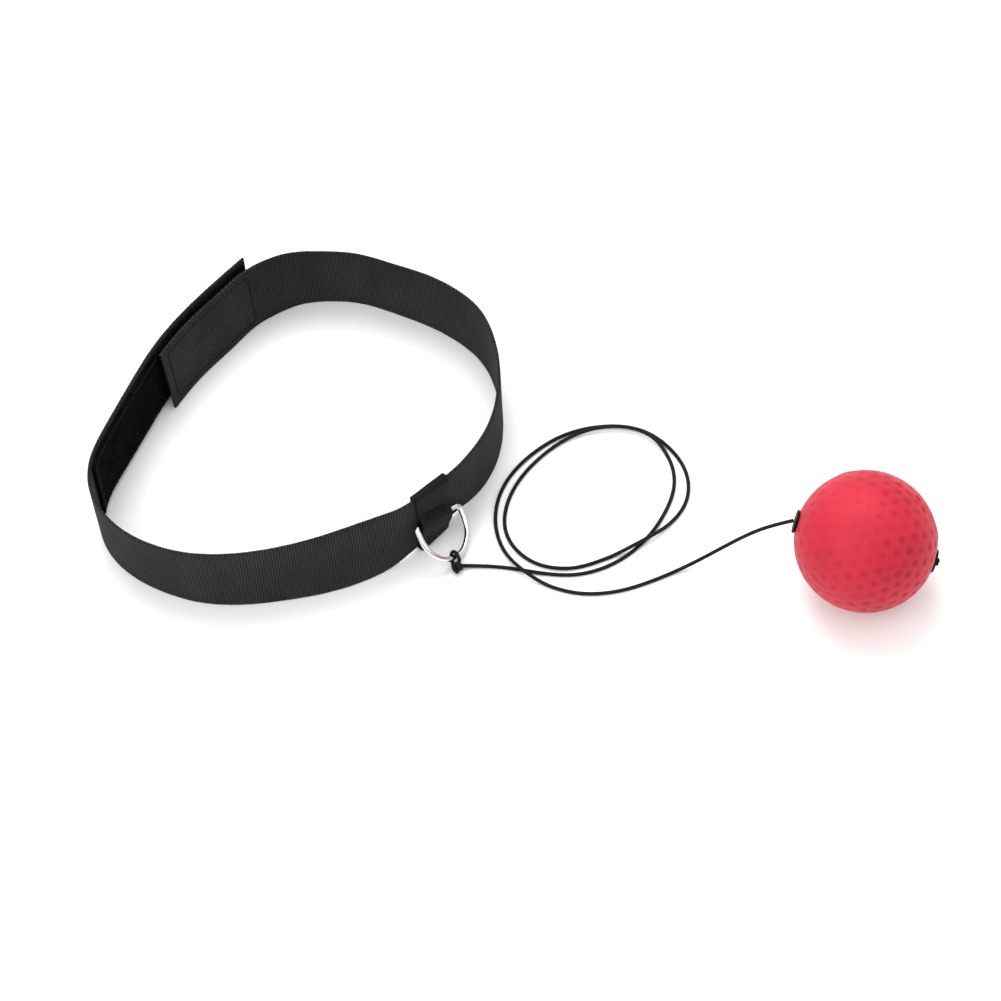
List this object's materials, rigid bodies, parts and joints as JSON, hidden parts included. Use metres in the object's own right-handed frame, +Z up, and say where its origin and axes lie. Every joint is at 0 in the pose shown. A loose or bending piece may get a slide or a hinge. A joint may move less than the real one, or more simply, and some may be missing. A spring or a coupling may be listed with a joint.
{
  "type": "reflex ball headband",
  "caption": "Webbing headband with a hook-and-loop closure, and a dimpled foam ball on a long elastic tether tied to a D-ring, for boxing reflex and timing training.",
  "frame": {"origin": "centre of the overall footprint at floor level, the strap's lower edge, with the band open upwards", "axes": "+Z up through the band's opening; +X from the band towards the ball; +Y from the ring's side of the band towards the back"},
  "size_m": [0.3582, 0.1992, 0.0602],
  "materials": {
    "webbing": "matte cross-ribbed nylon webbing",
    "loop_pile": "short unbroken loop pile",
    "hook_tape": "moulded hooks on woven tape",
    "sewing_thread": "twisted polyester thread",
    "keeper_webbing": "matte finely woven webbing",
    "ring_chrome": "bright plated steel wire",
    "tether_braid": "braided cover on an elastic core",
    "ball_foam": "dimpled satin foam skin",
    "washer_plastic": "plain black washer"
  },
  "bodies": {
    "headband": {"headband_strap": "webbing", "loop_patch": "loop_pile", "loop_patch_stitching": "sewing_thread", "ring_keeper": "keeper_webbing", "keeper_stitch_upper": "sewing_thread", "keeper_stitch_lower": "sewing_thread", "tether_cord": "tether_braid", "ball_cord": "tether_braid", "stop_knot": "tether_braid"},
    "hook_flap": {"hook_end_strap": "webbing", "hook_patch": "hook_tape", "hook_patch_stitching": "sewing_thread"},
    "ring": {"d_ring": "ring_chrome", "tether_knot": "tether_braid"},
    "ball": {"ball": "ball_foam", "entry_washer": "washer_plastic", "far_washer": "washer_plastic"}
  },
  "joints": [
    {"name": "flap_peel", "type": "hinge", "parent": "headband", "child": "hook_flap", "pos_m": [-0.10623, 0.08889, 0.019], "axis": [-0.0285, 0.043, 0.9987], "range_deg": [0, 75]},
    {"name": "ring_swing", "type": "hinge", "parent": "headband", "child": "ring", "pos_m": [-0.03037, -0.03502, 0.0158], "axis": [-0.6745, -0.64, 0.3681], "range_deg": [0, 75]},
    {"name": "ball_spin", "type": "hinge", "parent": "headband", "child": "ball", "pos_m": [0.1488, -0.0705, 0.0301], "axis": [0.9431, -0.275, -0.187], "continuous": true}
  ]
}
